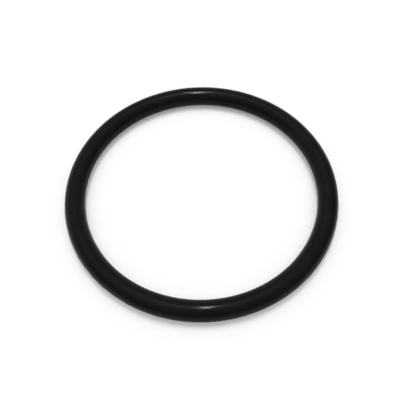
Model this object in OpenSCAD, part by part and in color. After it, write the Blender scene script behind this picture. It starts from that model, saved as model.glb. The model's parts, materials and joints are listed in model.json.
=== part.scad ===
// Rubber o-ring, moulded in one piece and lying flat in its free, unstretched form.
// The origin is the centre of the ring on its mid-plane, and +Z is the ring's axis.

/* [Ring] */
// Inside diameter of the free ring, measured on the round section
inside_d = 40.87; // [20:0.01:80]
// Diameter of the round section
section_d = 3.53; // [1.5:0.01:7]

/* [Mould line] */
// Height of the fine line where the mould halves met, above the round section
line_h = 0.05; // [0.02:0.01:0.15]
// Width of the flat crest of the line, along the ring's axis
line_w = 0.10; // [0.05:0.01:0.4]

/* [Hidden] */

rubber_black = [0.11, 0.115, 0.12];

// Steps round the section and round the ring
section_steps = 96;
ring_steps = 360;

// Radius of the circle that the middle of the section runs along
middle_r = (inside_d + section_d) / 2;

// The section with a line on its inside and on its outside, both from one strip
// that passes through its middle. Each crest is a true cylinder once it is turned.
module section() {
    circle(d = section_d, $fn = section_steps);
    square([section_d + 2 * line_h, line_w], center = true);
}

// The whole ring: the section turned once about the ring's axis
module o_ring() {
    color(rubber_black)
        rotate_extrude($fn = ring_steps)
            translate([middle_r, 0])
                section();
}

o_ring();
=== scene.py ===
"""A black rubber o-ring lying flat on a pale table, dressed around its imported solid."""

import json
import math

import bmesh
import bpy
from bpy.props import FloatProperty, FloatVectorProperty, IntProperty, PointerProperty
from mathutils import Matrix, Quaternion, Vector


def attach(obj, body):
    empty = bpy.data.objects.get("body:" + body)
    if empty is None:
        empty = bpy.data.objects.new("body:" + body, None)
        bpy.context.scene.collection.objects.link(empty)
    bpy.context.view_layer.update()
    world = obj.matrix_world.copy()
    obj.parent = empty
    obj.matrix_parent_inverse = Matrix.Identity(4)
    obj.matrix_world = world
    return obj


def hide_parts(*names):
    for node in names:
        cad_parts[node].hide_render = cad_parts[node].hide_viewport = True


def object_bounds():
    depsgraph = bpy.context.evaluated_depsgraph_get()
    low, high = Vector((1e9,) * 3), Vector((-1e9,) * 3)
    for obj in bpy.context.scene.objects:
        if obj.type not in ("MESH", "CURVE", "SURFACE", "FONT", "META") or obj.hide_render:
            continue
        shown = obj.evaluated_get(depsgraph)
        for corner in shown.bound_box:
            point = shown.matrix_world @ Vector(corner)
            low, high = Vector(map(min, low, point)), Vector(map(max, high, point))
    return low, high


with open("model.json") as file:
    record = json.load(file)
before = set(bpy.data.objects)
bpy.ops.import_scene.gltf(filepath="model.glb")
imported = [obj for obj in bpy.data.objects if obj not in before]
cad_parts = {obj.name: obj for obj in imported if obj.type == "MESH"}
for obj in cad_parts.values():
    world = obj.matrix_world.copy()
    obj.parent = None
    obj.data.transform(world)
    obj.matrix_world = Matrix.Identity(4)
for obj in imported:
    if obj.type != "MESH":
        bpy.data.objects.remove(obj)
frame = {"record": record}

bl_info = {
    "name": "Rubber O-Ring",
    "version": (1, 0, 0),
    "blender": (4, 5, 0),
    "location": "3D Viewport > Sidebar > O-Ring",
    "description": "Moulds a rubber o-ring and sets the studio that it is seen in",
    "category": "Add Mesh",
}

MM = 0.001
FULL_TURN = 2 * math.pi
NODE = "o_ring"
BODY = "root"
UV_NAME = "UVMap"
WHITE = (1.0, 1.0, 1.0, 1.0)

# How many times the trimming of the mould line changes over one radius of the ring, and the
# range of noise that takes the line from whole to trimmed
TRIM_SCALE = 14.0
TRIM_RANGE = 0.35, 0.65

# The range of noise that takes the rubber from clean to hazy
HAZE_RANGE = 0.38, 0.68

# How many finer layers of noise are laid over the first
TRIM_DETAIL = 3.0
MARKS_DETAIL = 2.0
GRAIN_DETAIL = 3.0
HAZE_DETAIL = 5.0

# Points closer together than this are joined where the rolled sheet closes
JOIN_DISTANCE = 0.001 * MM

# The sockets of a Mix node that mixes colours, which share their names with its other sockets
MIX_SHARE, MIX_FIRST, MIX_SECOND = 0, 6, 7
MIX_RESULT = 2

# The photograph's width, and the lens in the same pixels
PICTURE_PX = 400
LENS_PX = 565.6
SENSOR_WIDTH = 36.0
CAMERA_PLACE = Vector((0.0, -53.79, 84.18)) * MM
CAMERA_AIM = Vector((-0.234, -1.842, 0.0)) * MM
CAMERA_TILT = math.radians(-1.964)
# The nearest and the farthest that it sees
CLIP_NEAR, CLIP_FAR = 0.01, 10.0

# How far from the ring's middle the table top begins to turn plain white, and has turned
FLOOR_FADE = 0.06, 0.25
FLOOR_RADIUS = 1.6
FLOOR_SIDES = 96

# The dark card round the camera's side: where it starts and ends, turning right from the camera,
# and the turn over which it fades out at each end
CARD_START, CARD_END, CARD_FADE = math.radians(-100.0), math.radians(150.0), math.radians(50.0)
CARD_DISTANCE, CARD_STEPS = 0.30, 32
# Its top, and the height at which it begins to fade out towards that
CARD_TOP, CARD_FULL = 0.35, 0.21
CARD_CLOTH = (0.01, 0.01, 0.01, 1.0)

# The room, by how far up one looks, from 0 level to 1 straight up: where its white wall ends,
# and where the soft overhead light begins
WALL_FADE = 0.2, 0.45
OVERHEAD_FADE = 0.6, 1.0
# The way to the brightest part of the ceiling, and how closely one looks that way, as a cosine
GLOW_WAY = Vector((-0.45, 0.30, 1.0)).normalized()
GLOW_FADE = 0.70, 1.0

CAD_LOW, CAD_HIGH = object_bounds()


def mount_sizes(name):
    """Radius and length, in metres, of one of the ring's stated mounts."""
    for mount in frame["record"]["mounts"]:
        if mount["name"] == name:
            return mount["dims"]["r_mm"] * MM, mount["dims"]["length_mm"] * MM
    raise RuntimeError(f"the record states no mount named {name}")


# Both crests of the mould line are stated as mounts. The line stands this far out of the section.
LINE_HEIGHT = 0.05 * MM
INSIDE_RADIUS, LINE_WIDTH = mount_sizes("inside")
OUTSIDE_RADIUS = mount_sizes("outside")[0]
MIDDLE_RADIUS = (INSIDE_RADIUS + OUTSIDE_RADIUS) / 2
SECTION_DIAMETER = OUTSIDE_RADIUS - INSIDE_RADIUS - 2 * LINE_HEIGHT


class RingSizes(bpy.types.PropertyGroup):
    """The ring's form, as it leaves its mould."""

    middle_radius: FloatProperty(
        name="Middle Radius",
        description="Radius of the circle that the middle of the section runs along",
        default=MIDDLE_RADIUS,
        min=MM,
        unit="LENGTH",
    )
    section_diameter: FloatProperty(
        name="Section Diameter",
        description="Diameter of the round rubber section",
        default=SECTION_DIAMETER,
        min=0.1 * MM,
        unit="LENGTH",
    )
    line_height: FloatProperty(
        name="Mould Line Height",
        description="How far the line left between the mould halves stands out",
        default=LINE_HEIGHT,
        min=0.0,
        unit="LENGTH",
    )
    line_width: FloatProperty(
        name="Mould Line Width",
        description="Width of the flat crest of the mould line",
        default=LINE_WIDTH,
        min=0.0,
        unit="LENGTH",
    )
    line_shoulder: FloatProperty(
        name="Mould Line Shoulder",
        description="Width over which the mould line falls away to the round section",
        default=0.03 * MM,
        min=0.001 * MM,
        unit="LENGTH",
    )
    line_unevenness: FloatProperty(
        name="Mould Line Unevenness",
        description="Largest share of the mould line's height that trimming has taken off",
        default=0.5,
        min=0.0,
        max=1.0,
        subtype="FACTOR",
    )
    ring_steps: IntProperty(
        name="Steps Round the Ring",
        description="Faces in one turn of the ring",
        default=480,
        min=12,
    )
    section_steps: IntProperty(
        name="Steps Round the Section",
        description="Faces round the section, closest together at the mould line",
        default=112,
        min=12,
    )
    crowding: FloatProperty(
        name="Crowding",
        description="How strongly the faces round the section crowd together at the mould line",
        default=0.85,
        min=0.0,
        max=0.95,
    )


class RubberFinish(bpy.types.PropertyGroup):
    """The look of the rubber."""

    colour: FloatVectorProperty(
        name="Colour",
        description="Colour of the carbon-filled rubber",
        subtype="COLOR",
        size=3,
        default=(0.0056, 0.0065, 0.0070),
        min=0.0,
        max=1.0,
    )
    haze_colour: FloatVectorProperty(
        name="Haze Colour",
        description="Colour where handling has left the rubber slightly greyer",
        subtype="COLOR",
        size=3,
        default=(0.0076, 0.0084, 0.0087),
        min=0.0,
        max=1.0,
    )
    roughness: FloatProperty(
        name="Roughness",
        description="Roughness of the smooth moulded skin where it is cleanest",
        default=0.055,
        min=0.0,
        max=1.0,
    )
    haze_roughness: FloatProperty(
        name="Haze Roughness",
        description="Roughness of the skin where the rubber is greyer",
        default=0.10,
        min=0.0,
        max=1.0,
    )
    shine: FloatProperty(
        name="Shine",
        description="Specular level of the skin",
        default=0.046,
        min=0.0,
        max=1.0,
    )
    bloom_shine: FloatProperty(
        name="Bloom Shine",
        description="Strength of the sheen of bloom, the thin film of wax that rubber sweats out",
        default=0.068,
        min=0.0,
        max=1.0,
    )
    bloom_roughness: FloatProperty(
        name="Bloom Roughness",
        description="Roughness of the bloom",
        default=0.34,
        min=0.0,
        max=1.0,
    )
    haze_pattern: FloatProperty(
        name="Haze Pattern",
        description="Picks one of many patterns of haze",
        default=8.0,
    )
    marks_height: FloatProperty(
        name="Mould Marks Height",
        description="Height of the fine turned marks that the mould leaves along the ring",
        default=0.0012 * MM,
        min=0.0,
        unit="LENGTH",
    )
    grain_height: FloatProperty(
        name="Grain Height",
        description="Height of the rubber's fine grain",
        default=0.0006 * MM,
        min=0.0,
        unit="LENGTH",
    )


class StudioSettings(bpy.types.PropertyGroup):
    """The table, the room and the lamp."""

    floor_colour: FloatVectorProperty(
        name="Floor Colour",
        description="Colour of the table top",
        subtype="COLOR",
        size=3,
        default=(0.94, 0.94, 0.94),
        min=0.0,
        max=1.0,
    )
    floor_white: FloatProperty(
        name="Floor Whiteness",
        description="Share of plain white in the table top, as the camera and gloss see it",
        default=0.20,
        min=0.0,
        max=1.0,
    )
    room_light: FloatProperty(
        name="Room Light",
        description="Light that comes evenly from all round",
        default=0.24,
        min=0.0,
    )
    overhead_light: FloatProperty(
        name="Overhead Light",
        description="Soft light added straight overhead, fading out down the sides of the room",
        default=1.62,
        min=0.0,
    )
    room_overhead: FloatProperty(
        name="Upper Room Brightness",
        description="Brightness that the room shows above its white wall, beside white",
        default=0.35,
        min=0.0,
    )
    ceiling_glow: FloatProperty(
        name="Ceiling Glow",
        description="How much brighter than that the ceiling shows at its brightest",
        default=0.35,
        min=0.0,
    )
    lamp_brightness: FloatProperty(
        name="Lamp Brightness",
        description="Brightness of the strip lamp's face, beside white",
        default=190.0,
        min=0.0,
    )
    lamp_place: FloatVectorProperty(
        name="Lamp Place",
        description="Middle of the strip lamp",
        subtype="TRANSLATION",
        size=3,
        default=(0.002, 0.075, 0.494),
    )
    lamp_length: FloatProperty(
        name="Lamp Length",
        description="Length of the strip lamp, away from the camera",
        default=0.20,
        min=MM,
        unit="LENGTH",
    )
    lamp_width: FloatProperty(
        name="Lamp Width",
        description="Width of the strip lamp",
        default=0.006,
        min=MM,
        unit="LENGTH",
    )


class Wiring:
    """Adds nodes to a tree and joins them, so that a formula reads as one."""

    STEP = 180

    def __init__(self, tree):
        self.tree = tree
        self.tree.nodes.clear()
        self.placed = 0

    def node(self, kind, inputs=None, **settings):
        """A new node with its settings, and with its named inputs set or joined."""
        node = self.tree.nodes.new(kind)
        node.location = (self.placed * self.STEP, 0)
        self.placed += 1
        for name, value in settings.items():
            setattr(node, name, value)
        for name, value in (inputs or {}).items():
            self.feed(node.inputs[name], value)
        return node

    def feed(self, socket, value):
        """Joins an output to an input, or sets the input's own value."""
        if isinstance(value, bpy.types.NodeSocket):
            self.tree.links.new(value, socket)
        else:
            socket.default_value = value

    def math(self, operation, *values):
        """The output of a Math node."""
        node = self.node("ShaderNodeMath", operation=operation)
        for socket, value in zip(node.inputs, values):
            self.feed(socket, value)
        return node.outputs["Value"]

    def ramp(self, value, start, end, first, last):
        """A value that goes smoothly from first to last as another goes from start to end."""
        node = self.node(
            "ShaderNodeMapRange",
            {"Value": value, "From Min": start, "From Max": end, "To Min": first, "To Max": last},
            interpolation_type="SMOOTHSTEP",
        )
        return node.outputs["Result"]

    def mix(self, share, first, second):
        """The output of a Mix Shader node."""
        node = self.node("ShaderNodeMixShader")
        for socket, value in zip(node.inputs, (share, first, second)):
            self.feed(socket, value)
        return node.outputs["Shader"]


def add_socket(tree, name, kind, side="INPUT", **settings):
    """Adds a named input or output to a node tree."""
    socket = tree.interface.new_socket(name=name, in_out=side, socket_type=kind)
    for key, value in settings.items():
        setattr(socket, key, value)


def ring_tree():
    """Geometry Nodes that roll a flat sheet of faces up into the moulded ring."""
    tree = bpy.data.node_groups.new("moulded ring", "GeometryNodeTree")
    tree.is_modifier = True
    add_socket(tree, "Geometry", "NodeSocketGeometry")
    for name in ("Middle Radius", "Section Diameter", "Line Height", "Line Width", "Line Shoulder"):
        add_socket(tree, name, "NodeSocketFloat", subtype="DISTANCE", min_value=0.0)
    add_socket(tree, "Line Unevenness", "NodeSocketFloat", min_value=0.0, max_value=1.0)
    add_socket(tree, "Ring Steps", "NodeSocketInt", min_value=3)
    add_socket(tree, "Section Steps", "NodeSocketInt", min_value=3)
    add_socket(tree, "Crowding", "NodeSocketFloat", min_value=0.0, max_value=0.95)
    add_socket(tree, "Rubber", "NodeSocketMaterial")
    add_socket(tree, "Geometry", "NodeSocketGeometry", side="OUTPUT")

    w = Wiring(tree)
    size = w.node("NodeGroupInput").outputs
    sheet = w.node(
        "GeometryNodeMeshGrid",
        {
            "Size X": 1.0,
            "Size Y": 1.0,
            "Vertices X": w.math("ADD", size["Ring Steps"], 1.0),
            "Vertices Y": w.math("ADD", size["Section Steps"], 1.0),
        },
    )
    mapped = w.node(
        "GeometryNodeStoreNamedAttribute",
        {"Geometry": sheet.outputs["Mesh"], "Name": UV_NAME, "Value": sheet.outputs["UV Map"]},
        data_type="FLOAT2",
        domain="CORNER",
    )
    position = w.node("GeometryNodeInputPosition").outputs["Position"]
    place = w.node("ShaderNodeSeparateXYZ", {"Vector": position}).outputs
    turn = w.math("MULTIPLY", place["X"], FULL_TURN)
    step = w.math("MULTIPLY", place["Y"], FULL_TURN)
    # The steps round the section crowd together at the mould line, which is far finer than they.
    swing = w.math("SINE", w.math("MULTIPLY", step, 2.0))
    pull = w.math("MULTIPLY", swing, w.math("MULTIPLY", size["Crowding"], 0.5))
    angle = w.math("SUBTRACT", step, pull)

    section_radius = w.math("MULTIPLY", size["Section Diameter"], 0.5)
    round_out = w.math("MULTIPLY", section_radius, w.math("COSINE", angle))
    height = w.math("MULTIPLY", section_radius, w.math("SINE", angle))
    side = w.math("SIGN", round_out)
    # The noise is read on a circle, so that it closes, and apart for the inside and outside line.
    along = w.node(
        "ShaderNodeCombineXYZ", {"X": w.math("COSINE", turn), "Y": w.math("SINE", turn), "Z": side}
    ).outputs["Vector"]
    trimmed = w.node(
        "ShaderNodeTexNoise", {"Vector": along, "Scale": TRIM_SCALE, "Detail": TRIM_DETAIL}
    )
    trimming = w.ramp(trimmed.outputs["Fac"], *TRIM_RANGE, 0.0, 1.0)
    lost = w.math("MULTIPLY", trimming, size["Line Unevenness"])
    line_height = w.math("MULTIPLY", size["Line Height"], w.math("SUBTRACT", 1.0, lost))
    crest_out = w.math("MULTIPLY", side, w.math("ADD", section_radius, line_height))
    half_width = w.math("MULTIPLY", size["Line Width"], 0.5)
    foot = w.math("ADD", half_width, size["Line Shoulder"])
    on_line = w.ramp(w.math("ABSOLUTE", height), half_width, foot, 1.0, 0.0)
    rise = w.math("MULTIPLY", w.math("SUBTRACT", crest_out, round_out), on_line)
    radius = w.math("ADD", size["Middle Radius"], w.math("ADD", round_out, rise))
    point = w.node(
        "ShaderNodeCombineXYZ",
        {
            "X": w.math("MULTIPLY", radius, w.math("COSINE", turn)),
            "Y": w.math("MULTIPLY", radius, w.math("SINE", turn)),
            "Z": height,
        },
    )
    rolled = w.node(
        "GeometryNodeSetPosition",
        {"Geometry": mapped.outputs["Geometry"], "Position": point.outputs["Vector"]},
    )
    closed = w.node(
        "GeometryNodeMergeByDistance",
        {"Geometry": rolled.outputs["Geometry"], "Distance": JOIN_DISTANCE},
    )
    smooth = w.node("GeometryNodeSetShadeSmooth", {"Geometry": closed.outputs["Geometry"]})
    real = w.node("GeometryNodeRealizeInstances", {"Geometry": smooth.outputs["Geometry"]})
    dressed = w.node(
        "GeometryNodeSetMaterial",
        {"Geometry": real.outputs["Geometry"], "Material": size["Rubber"]},
    )
    w.node("NodeGroupOutput", {"Geometry": dressed.outputs["Geometry"]})
    return tree


def set_inputs(modifier, values):
    """Sets a Geometry Nodes modifier's inputs, each found by the identifier of its socket."""
    for item in modifier.node_group.interface.items_tree:
        if item.in_out == "INPUT" and item.name in values:
            modifier[item.identifier] = values[item.name]


def turned_marks_group():
    """Fine marks that run along the ring, left by the lathe that cut the mould."""
    group = bpy.data.node_groups.new("turned mould marks", "ShaderNodeTree")
    add_socket(group, "Pitch", "NodeSocketFloat", default_value=0.06 * MM)
    add_socket(group, "Fade Length", "NodeSocketFloat", default_value=6 * MM)
    add_socket(group, "Height", "NodeSocketFloat", side="OUTPUT")
    w = Wiring(group)
    size = w.node("NodeGroupInput").outputs
    place = w.node(
        "ShaderNodeSeparateXYZ", {"Vector": w.node("ShaderNodeTexCoord").outputs["Object"]}
    ).outputs
    squares = w.math("ADD", w.math("POWER", place["X"], 2.0), w.math("POWER", place["Y"], 2.0))
    across = w.node(
        "ShaderNodeCombineXYZ",
        {
            "X": w.math("DIVIDE", w.math("SQRT", squares), size["Pitch"]),
            "Y": w.math("DIVIDE", place["Z"], size["Pitch"]),
            "Z": w.math("DIVIDE", w.math("ADD", place["X"], place["Y"]), size["Fade Length"]),
        },
    )
    noise = w.node(
        "ShaderNodeTexNoise",
        {"Vector": across.outputs["Vector"], "Scale": 1.0, "Detail": MARKS_DETAIL},
    )
    w.node("NodeGroupOutput", {"Height": noise.outputs["Fac"]})
    return group


def grain_group():
    """A fine even grain, and slow clouds of haze, both fixed in the rubber."""
    group = bpy.data.node_groups.new("rubber grain", "ShaderNodeTree")
    add_socket(group, "Grain Size", "NodeSocketFloat", default_value=0.08 * MM)
    add_socket(group, "Haze Size", "NodeSocketFloat", default_value=4 * MM)
    add_socket(group, "Haze Pattern", "NodeSocketFloat", default_value=0.0)
    add_socket(group, "Grain", "NodeSocketFloat", side="OUTPUT")
    add_socket(group, "Haze", "NodeSocketFloat", side="OUTPUT")
    w = Wiring(group)
    size = w.node("NodeGroupInput").outputs
    place = w.node("ShaderNodeTexCoord").outputs["Object"]
    grain = w.node(
        "ShaderNodeTexNoise",
        {
            "Vector": place,
            "Scale": w.math("DIVIDE", 1.0, size["Grain Size"]),
            "Detail": GRAIN_DETAIL,
        },
    )
    haze = w.node(
        "ShaderNodeTexNoise",
        {
            "Vector": place,
            "W": size["Haze Pattern"],
            "Scale": w.math("DIVIDE", 1.0, size["Haze Size"]),
            "Detail": HAZE_DETAIL,
        },
        noise_dimensions="4D",
    )
    spread = w.ramp(haze.outputs["Fac"], *HAZE_RANGE, 0.0, 1.0)
    w.node("NodeGroupOutput", {"Grain": grain.outputs["Fac"], "Haze": spread})
    return group


def rubber_material(finish):
    """Black rubber: a smooth skin under a soft bloom, greyer and duller where it was handled."""
    material = bpy.data.materials.new("black_rubber")
    material.use_nodes = True
    w = Wiring(material.node_tree)
    marks = w.node("ShaderNodeGroup", node_tree=turned_marks_group())
    grain = w.node(
        "ShaderNodeGroup", {"Haze Pattern": finish.haze_pattern}, node_tree=grain_group()
    )
    haze = grain.outputs["Haze"]
    tint = w.node("ShaderNodeMix", data_type="RGBA")
    w.feed(tint.inputs[MIX_SHARE], haze)
    w.feed(tint.inputs[MIX_FIRST], (*finish.colour, 1.0))
    w.feed(tint.inputs[MIX_SECOND], (*finish.haze_colour, 1.0))
    roughness = w.node(
        "ShaderNodeMapRange",
        {"Value": haze, "To Min": finish.roughness, "To Max": finish.haze_roughness},
    )
    lined = w.node(
        "ShaderNodeBump", {"Height": marks.outputs["Height"], "Distance": finish.marks_height}
    )
    grained = w.node(
        "ShaderNodeBump",
        {
            "Height": grain.outputs["Grain"],
            "Distance": finish.grain_height,
            "Normal": lined.outputs["Normal"],
        },
    )
    shader = w.node(
        "ShaderNodeBsdfPrincipled",
        {
            "Base Color": tint.outputs[MIX_RESULT],
            "Roughness": roughness.outputs["Result"],
            "Specular IOR Level": finish.shine,
            "Coat Weight": finish.bloom_shine,
            "Coat Roughness": finish.bloom_roughness,
            "Normal": grained.outputs["Normal"],
        },
    )
    w.node("ShaderNodeOutputMaterial", {"Surface": shader.outputs["BSDF"]})
    return material


class ORING_OT_mould_ring(bpy.types.Operator):
    """Mould the rubber ring in place of its plain solid"""

    bl_idname = "oring.mould_ring"
    bl_label = "Mould the Ring"
    bl_options = {"REGISTER", "UNDO"}

    def execute(self, context):
        sizes = context.scene.oring_sizes
        ring = bpy.data.objects.new("moulded_ring", bpy.data.meshes.new("moulded_ring"))
        context.scene.collection.objects.link(ring)
        maker = ring.modifiers.new("moulded ring", "NODES")
        maker.node_group = ring_tree()
        set_inputs(
            maker,
            {
                "Middle Radius": sizes.middle_radius,
                "Section Diameter": sizes.section_diameter,
                "Line Height": sizes.line_height,
                "Line Width": sizes.line_width,
                "Line Shoulder": sizes.line_shoulder,
                "Line Unevenness": sizes.line_unevenness,
                "Ring Steps": sizes.ring_steps,
                "Section Steps": sizes.section_steps,
                "Crowding": sizes.crowding,
                "Rubber": rubber_material(context.scene.oring_finish),
            },
        )
        depsgraph = context.evaluated_depsgraph_get()
        mesh = bpy.data.meshes.new_from_object(
            ring.evaluated_get(depsgraph), preserve_all_data_layers=True, depsgraph=depsgraph
        )
        ring.modifiers.remove(maker)
        ring.data = mesh
        mesh.name = ring.name
        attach(ring, BODY)
        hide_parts(NODE)
        return {"FINISHED"}


def seen_share(w):
    """1 for rays that show the background: the camera's, and those off gloss or through glass."""
    path = w.node("ShaderNodeLightPath").outputs
    shown = w.math("MAXIMUM", path["Is Camera Ray"], path["Is Glossy Ray"])
    return w.math("MAXIMUM", shown, path["Is Transmission Ray"])


def floor_material(studio):
    """A pale table top that keeps the ring's shadow, and turns plain white away from it."""
    material = bpy.data.materials.new("pale table")
    material.use_nodes = True
    w = Wiring(material.node_tree)
    top = w.node("ShaderNodeBsdfDiffuse", {"Color": (*studio.floor_colour, 1.0)}).outputs["BSDF"]
    white = w.node("ShaderNodeEmission", {"Color": WHITE, "Strength": 1.0}).outputs["Emission"]
    place = w.node("ShaderNodeTexCoord").outputs["Object"]
    away = w.node("ShaderNodeVectorMath", {0: place}, operation="LENGTH").outputs["Value"]
    # Far from the ring there is no shadow to keep, and the table top turns as white as the room.
    whiteness = w.ramp(away, *FLOOR_FADE, studio.floor_white, 1.0)
    share = w.math("MULTIPLY", seen_share(w), whiteness)
    w.node("ShaderNodeOutputMaterial", {"Surface": w.mix(share, top, white)})
    return material


def lay_floor(studio):
    """A round table top under the ring."""
    mesh = bpy.data.meshes.new("table_top")
    shape = bmesh.new()
    bmesh.ops.create_circle(shape, cap_ends=True, segments=FLOOR_SIDES, radius=FLOOR_RADIUS)
    shape.to_mesh(mesh)
    shape.free()
    mesh.transform(Matrix.Translation((0.0, 0.0, CAD_LOW.z)))
    mesh.materials.append(floor_material(studio))
    floor = bpy.data.objects.new("table_top", mesh)
    bpy.context.scene.collection.objects.link(floor)


def card_material():
    """Black cloth that fades out at its ends and its top, so that gloss shows no edge of it."""
    material = bpy.data.materials.new("dark card")
    material.use_nodes = True
    w = Wiring(material.node_tree)
    place = w.node(
        "ShaderNodeSeparateXYZ", {"Vector": w.node("ShaderNodeTexCoord").outputs["Object"]}
    ).outputs
    turn = w.math("ARCTAN2", place["X"], w.math("MULTIPLY", place["Y"], -1.0))
    begun = w.ramp(turn, CARD_START, CARD_START + CARD_FADE, 0.0, 1.0)
    not_ended = w.ramp(turn, CARD_END - CARD_FADE, CARD_END, 1.0, 0.0)
    under_top = w.ramp(place["Z"], CARD_FULL, CARD_TOP, 1.0, 0.0)
    there = w.math("MULTIPLY", w.math("MULTIPLY", begun, not_ended), under_top)
    gap = w.node("ShaderNodeBsdfTransparent").outputs["BSDF"]
    cloth = w.node("ShaderNodeBsdfDiffuse", {"Color": CARD_CLOTH}).outputs["BSDF"]
    w.node("ShaderNodeOutputMaterial", {"Surface": w.mix(there, gap, cloth)})
    return material


def stand_dark_card():
    """A dark card round the camera's side, which only gloss sees."""
    mesh = bpy.data.meshes.new("dark_card")
    shape = bmesh.new()
    rows = []
    for i in range(CARD_STEPS + 1):
        turn = CARD_START + (CARD_END - CARD_START) * i / CARD_STEPS
        x = CARD_DISTANCE * math.sin(turn)
        y = -CARD_DISTANCE * math.cos(turn)
        rows.append((shape.verts.new((x, y, CAD_LOW.z)), shape.verts.new((x, y, CARD_TOP))))
    for (foot, top), (next_foot, next_top) in zip(rows, rows[1:]):
        shape.faces.new((foot, top, next_top, next_foot))
    shape.to_mesh(mesh)
    shape.free()
    mesh.materials.append(card_material())
    card = bpy.data.objects.new("dark_card", mesh)
    bpy.context.scene.collection.objects.link(card)
    card.visible_camera = False
    card.visible_diffuse = False
    card.visible_shadow = False


def light_world(studio):
    """A pale room: white at its horizon, dimmer above it, and brighter again overhead."""
    world = bpy.data.worlds.new("pale room")
    bpy.context.scene.world = world
    world.use_nodes = True
    w = Wiring(world.node_tree)
    direction = w.node("ShaderNodeTexCoord").outputs["Generated"]
    up = w.node("ShaderNodeSeparateXYZ", {"Vector": direction}).outputs["Z"]
    wall = w.ramp(up, *WALL_FADE, 1.0, studio.room_overhead)
    towards = w.node("ShaderNodeVectorMath", {0: direction, 1: GLOW_WAY}, operation="DOT_PRODUCT")
    glow = w.ramp(towards.outputs["Value"], *GLOW_FADE, 0.0, studio.ceiling_glow)
    seen = w.node("ShaderNodeBackground", {"Color": WHITE, "Strength": w.math("ADD", wall, glow)})
    soft = w.ramp(up, *OVERHEAD_FADE, studio.room_light, studio.room_light + studio.overhead_light)
    light = w.node("ShaderNodeBackground", {"Color": WHITE, "Strength": soft})
    room = w.mix(seen_share(w), light.outputs["Background"], seen.outputs["Background"])
    w.node("ShaderNodeOutputWorld", {"Surface": room})


def hang_lamp(studio):
    """The strip lamp, overhead and running away from the camera."""
    light = bpy.data.lights.new("strip_lamp", "AREA")
    light.shape = "RECTANGLE"
    light.size = studio.lamp_width
    light.size_y = studio.lamp_length
    # A lamp whose face is as bright as white sends out pi watts from each square metre.
    light.energy = studio.lamp_brightness * math.pi * studio.lamp_width * studio.lamp_length
    lamp = bpy.data.objects.new("strip_lamp", light)
    bpy.context.scene.collection.objects.link(lamp)
    lamp.location = studio.lamp_place
    lamp.rotation_mode = "QUATERNION"
    lamp.rotation_quaternion = Vector(studio.lamp_place).to_track_quat("Z", "Y")


def place_camera():
    """The camera where the photograph was taken from."""
    data = bpy.data.cameras.new("camera")
    data.sensor_width = SENSOR_WIDTH
    data.lens = LENS_PX * SENSOR_WIDTH / PICTURE_PX
    data.clip_start = CLIP_NEAR
    data.clip_end = CLIP_FAR
    camera = bpy.data.objects.new("camera", data)
    bpy.context.scene.collection.objects.link(camera)
    camera.location = CAMERA_PLACE
    level = (CAMERA_PLACE - CAMERA_AIM).to_track_quat("Z", "Y")
    camera.rotation_mode = "QUATERNION"
    camera.rotation_quaternion = level @ Quaternion((0.0, 0.0, 1.0), CAMERA_TILT)
    bpy.context.scene.camera = camera


class ORING_OT_set_stage(bpy.types.Operator):
    """Lay the table, hang the lamp and place the camera"""

    bl_idname = "oring.set_stage"
    bl_label = "Set the Stage"
    bl_options = {"REGISTER", "UNDO"}

    def execute(self, context):
        studio = context.scene.oring_studio
        lay_floor(studio)
        stand_dark_card()
        light_world(studio)
        hang_lamp(studio)
        place_camera()
        context.scene.view_settings.view_transform = "Standard"
        return {"FINISHED"}


class ORING_PT_panel(bpy.types.Panel):
    """Makes the ring and its stage"""

    bl_idname = "ORING_PT_panel"
    bl_label = "Rubber O-Ring"
    bl_space_type = "VIEW_3D"
    bl_region_type = "UI"
    bl_category = "O-Ring"

    def draw(self, context):
        for operator in OPERATORS:
            self.layout.operator(operator.bl_idname)


OPERATORS = (ORING_OT_mould_ring, ORING_OT_set_stage)
CLASSES = (RingSizes, RubberFinish, StudioSettings, *OPERATORS, ORING_PT_panel)


def register():
    for entry in CLASSES:
        bpy.utils.register_class(entry)
    bpy.types.Scene.oring_sizes = PointerProperty(type=RingSizes)
    bpy.types.Scene.oring_finish = PointerProperty(type=RubberFinish)
    bpy.types.Scene.oring_studio = PointerProperty(type=StudioSettings)


def unregister():
    del bpy.types.Scene.oring_studio
    del bpy.types.Scene.oring_finish
    del bpy.types.Scene.oring_sizes
    for entry in reversed(CLASSES):
        bpy.utils.unregister_class(entry)


def main():
    """Makes the ring and its stage."""
    register()
    bpy.ops.oring.mould_ring()
    bpy.ops.oring.set_stage()


if __name__ == "__main__":
    main()
